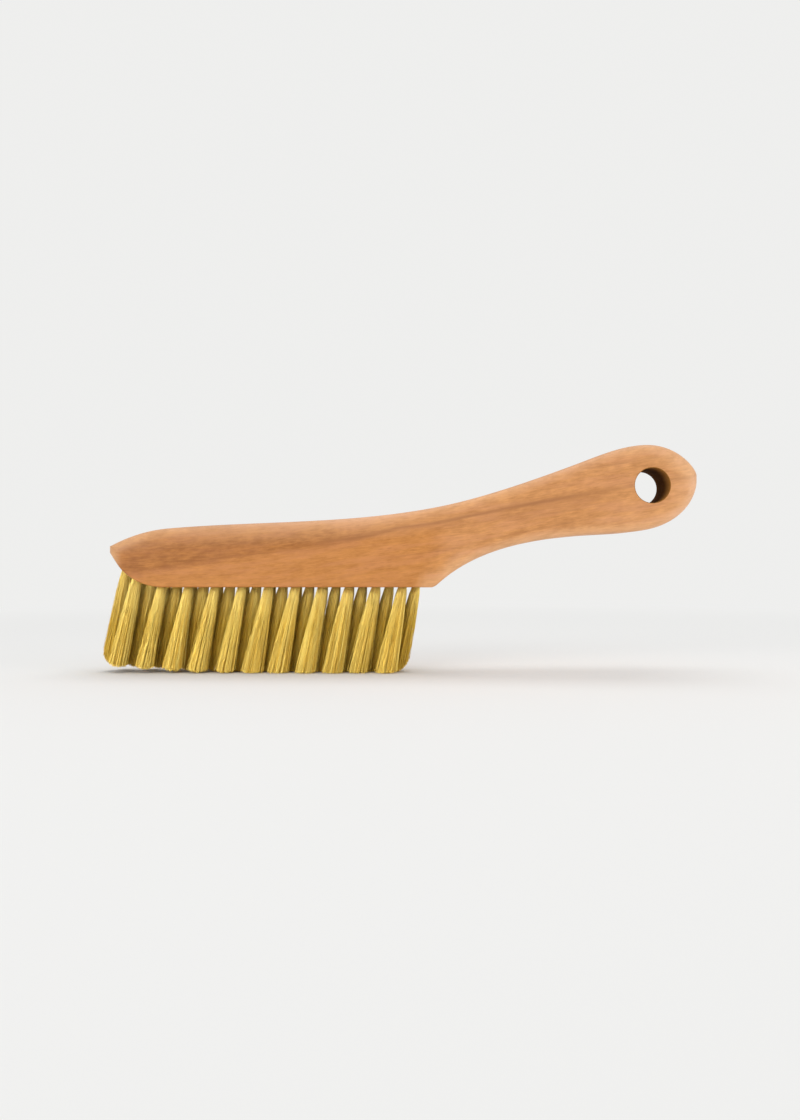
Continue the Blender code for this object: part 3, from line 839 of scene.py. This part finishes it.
    # The wire's course: its first point lies at the fold in the hole, and the others run down to its tip.
    step = add_node(tree, "GeometryNodeSplineParameter").outputs["Index"]
    mouth_z = part_of(given["Mouth"], 2)
    cut_at = calc(tree, "DIVIDE", calc(tree, "SUBTRACT", mouth_z, height), mouth_z)
    way = calc(tree, "DIVIDE", calc(tree, "SUBTRACT", step, 1.0), float(wire_points - 2))
    way = calc(tree, "MULTIPLY", calc(tree, "MAXIMUM", way, 0.0), cut_at)
    flare = calc(tree, "POWER", way, given["Flare"])
    root = scaled(place, given["Root Radius"])
    axis_point = between(way, given["Mouth"], given["Foot"])
    kink = calc(tree, "MULTIPLY", given["Crimp"], ramp(tree, way, 0.0, kinks_begin))
    kink = scaled(random_vector(number, kink_draw), kink)
    free = vector("ADD", vector("ADD", axis_point, between(flare, root, tip)), kink)
    down = vector("NORMALIZE", vector("SUBTRACT", given["Foot"], given["Mouth"]))
    fold = scaled(down, given["Fold Depth"])
    folded = vector("SUBTRACT", vector("ADD", given["Mouth"], scaled(root, fold_gather)), fold)
    in_hole = add_node(tree, "FunctionNodeCompare", {0: step, 1: 0.5}, operation="LESS_THAN")
    course = {"Switch": in_hole.outputs[0], "False": free, "True": folded}
    course = add_node(tree, "GeometryNodeSwitch", course, input_type="VECTOR").outputs[0]
    wires = add_node(tree, "GeometryNodeSetPosition", {"Geometry": wires, "Position": course}).outputs[0]
    wires = add_node(tree, "GeometryNodeSetCurveRadius", {"Curve": wires, "Radius": 1.0}).outputs[0]
    section = {"Resolution": 3, "Radius": given["Wire Radius"]}
    section = add_node(tree, "GeometryNodeCurvePrimitiveCircle", section).outputs[0]
    body = {"Curve": wires, "Profile Curve": section, "Fill Caps": True}
    body = add_node(tree, "GeometryNodeCurveToMesh", body).outputs[0]

    # The staple, across the fold.
    forward = vector("NORMALIZE", vector("CROSS_PRODUCT", (0.0, 1.0, 0.0), down))
    turned = add_node(tree, "FunctionNodeAlignRotationToVector", {"Vector": down}, axis="Z").outputs[0]
    turned = {"Rotation": turned, "Vector": forward}
    turned = add_node(tree, "FunctionNodeAlignRotationToVector", turned, axis="X").outputs[0]
    staple = add_node(tree, "GeometryNodeMeshCube", {"Size": staple_size}).outputs[0]
    at_fold = vector("SUBTRACT", given["Mouth"], fold)
    staple = {"Geometry": staple, "Translation": at_fold, "Rotation": turned}
    staple = add_node(tree, "GeometryNodeTransform", staple).outputs[0]

    joined = add_node(tree, "GeometryNodeJoinGeometry")
    tree.links.new(staple, joined.inputs[0])
    tree.links.new(body, joined.inputs[0])
    whole = joined.outputs[0]
    for name in ("place", "gathered", "astray"):
        whole = add_node(tree, "GeometryNodeRemoveAttribute", {"Geometry": whole, "Name": name}).outputs[0]
    whole = add_node(tree, "GeometryNodeRealizeInstances", {0: whole}).outputs[0]
    finish = {"Geometry": whole, "Material": brass_wire}
    tree.links.new(add_node(tree, "GeometryNodeSetMaterial", finish).outputs[0], result["Geometry"])
    return tree


tuft_tree = wire_tuft_tree()
head_lower = lower_line[lower_line[:, 0] <= heel_x]


def mouth_of(row, number):
    """Where a tuft leaves the wood: on the flat underside, or above it in the nose's undercut."""
    start, down = hole_start(row, number), hole_down(row)
    beyond = head_lower[:, 0] - start.x - math.tan(hole_lean) * (head_lower[:, 1] - underside)
    height = float(np.interp(0, beyond, head_lower[:, 1]))
    return start + down * ((height - underside) / down.z)


def foot_of(row, number):
    """Where a tuft's axis meets the floor."""
    start, down = hole_start(row, number), hole_down(row)
    return start - down * (start.z / down.z)


nose_end = foot_of(0, 0).x - tip_radius
heel_end = foot_of(0, row_pitches).x + tip_radius
hand_work = np.random.default_rng(12)
most_askew = 0.0005
last_tuck = 0.0012
root_range = (0.93, 1.05)
tip_range = (0.94, 1.10)
turn_step = 1.7
seed_step = 101
tuft_number = 0
for name, (row, count) in hole_rows.items():
    for number in range(count):
        seedling = bpy.data.objects.new("tuft", bpy.data.meshes.new("tuft"))
        bpy.context.scene.collection.objects.link(seedling)
        # No two tufts are set alike, and the last one at the heel leans a little more than the rest.
        askew = Vector((*hand_work.uniform(-most_askew, most_askew, 2), 0))
        to_heel = (number + abs(row) / 2) / row_pitches
        askew.x -= last_tuck * (to_heel == 1)
        root_radius = root_at_nose[row] + (root_at_heel - root_at_nose[row]) * to_heel
        grow(seedling, tuft_tree, {
            "Wires": wires_in_tuft,
            "Wire Radius": wire_radius,
            "Crimp": wire_crimp,
            "Stray": wire_stray,
            "Root Radius": root_radius * hand_work.uniform(*root_range),
            "Tip Radius": tip_radius * hand_work.uniform(*tip_range) * (1 + outer_widening * abs(row)),
            "Flare": front_spread[number] if row == -1 else hidden_spread[number],
            "Mouth": mouth_of(row, number),
            "Foot": foot_of(row, number) + askew,
            "Fold Depth": fold_depth,
            "Turn": tuft_number * turn_step,
            "Seed": tuft_number * seed_step,
            "Nose End": nose_end,
            "Heel End": heel_end,
            "Level Length": level_length,
            "Trim Rise": trim_rise,
            "Nose Round": nose_round,
            "Heel Round": heel_round,
            "Crown": tuft_crown,
            "Tarnish And Shade": row_tarnish_and_shade[row],
        })
        tuft_mesh = settled(seedling, f"{name}_tuft_{number + 1:02d}")
        tuft_mesh.shade_smooth()
        show(f"{name}_tuft_{number + 1:02d}", tuft_mesh)
        tuft_number += 1


# The studio. A pale paper floor that runs out of sight into pale surroundings, one large soft lamp to the
# upper left, a fill from above and one low on the right, and the camera level with the middle of the brush.

pale = (0.86, 0.86, 0.85, 1)
paper_half = 6
shadow_floor = 0.15
plain_floor = 0.70
room_light = 0.54
lit_point = Vector((0, 0, 0.05))
camera_place = (0.0006, -0.4495, 0.04763)
camera_lens = 33.72


def seen_directly(tree):
    """1 for what the camera sees straight, in a polished surface or through a clear one."""
    path = add_node(tree, "ShaderNodeLightPath").outputs
    either = calc(tree, "MAXIMUM", path["Is Camera Ray"], path["Is Glossy Ray"])
    return calc(tree, "MAXIMUM", either, path["Is Transmission Ray"])


paper = bpy.data.materials.new("pale paper")
paper.use_nodes = True
tree = paper.node_tree
tree.nodes.remove(tree.nodes["Principled BSDF"])
place = add_node(tree, "ShaderNodeTexCoord").outputs["Object"]
away = add_node(tree, "ShaderNodeVectorMath", {0: place}, operation="LENGTH").outputs[1]
share = calc(tree, "MULTIPLY", ramp(tree, away, shadow_floor, plain_floor), seen_directly(tree))
matt = add_node(tree, "ShaderNodeBsdfDiffuse", {"Color": pale}).outputs[0]
plain = add_node(tree, "ShaderNodeEmission", {"Color": pale}).outputs[0]
shown = add_node(tree, "ShaderNodeMixShader", {0: share, 1: matt, 2: plain}).outputs[0]
# From beneath, the paper is clear, so that it hides nothing of the brush.
clear = add_node(tree, "ShaderNodeBsdfTransparent").outputs[0]
beneath = add_node(tree, "ShaderNodeNewGeometry").outputs["Backfacing"]
shown = add_node(tree, "ShaderNodeMixShader", {0: beneath, 1: shown, 2: clear}).outputs[0]
tree.links.new(shown, tree.nodes["Material Output"].inputs["Surface"])

floor_mesh = bpy.data.meshes.new("paper_floor")
paper_corners = [(x * paper_half, y * paper_half, 0) for x, y in ((-1, -1), (1, -1), (1, 1), (-1, 1))]
floor_mesh.from_pydata(paper_corners, [], [(0, 1, 2, 3)])
floor_mesh.materials.append(paper)
floor = bpy.data.objects.new("paper_floor", floor_mesh)
bpy.context.scene.collection.objects.link(floor)

world = bpy.data.worlds.new("studio")
bpy.context.scene.world = world
world.use_nodes = True
tree = world.node_tree
around = tree.nodes["Background"]
around.inputs["Color"].default_value = (1, 1, 1, 1)
around.inputs["Strength"].default_value = room_light
plain = add_node(tree, "ShaderNodeBackground", {"Color": pale, "Strength": 1.0}).outputs[0]
shown = {0: seen_directly(tree), 1: around.outputs[0], 2: plain}
shown = add_node(tree, "ShaderNodeMixShader", shown).outputs[0]
tree.links.new(shown, tree.nodes["World Output"].inputs["Surface"])

for name, place, size, power in (
    ("soft_key", (-0.70, -1.00, 0.22), 0.9, 8.7),
    ("soft_top", (0.05, 0.20, 1.10), 0.9, 5.3),
    ("low_fill", (0.80, -0.40, 0.08), 0.5, 2.9),
):
    lamp = bpy.data.lights.new(name, "AREA")
    lamp.size = size
    lamp.energy = power
    holder = bpy.data.objects.new(name, lamp)
    holder.location = place
    holder.rotation_euler = (lit_point - Vector(place)).to_track_quat("-Z", "Y").to_euler()
    bpy.context.scene.collection.objects.link(holder)

bpy.context.scene.view_settings.view_transform = "Standard"

camera = bpy.data.objects.new("camera", bpy.data.cameras.new("camera"))
camera.data.lens = camera_lens
camera.data.clip_start = 0.01
camera.location = camera_place
camera.rotation_euler = (math.pi / 2, 0, 0)
bpy.context.scene.collection.objects.link(camera)
bpy.context.scene.camera = camera

bpy.context.view_layer.update()
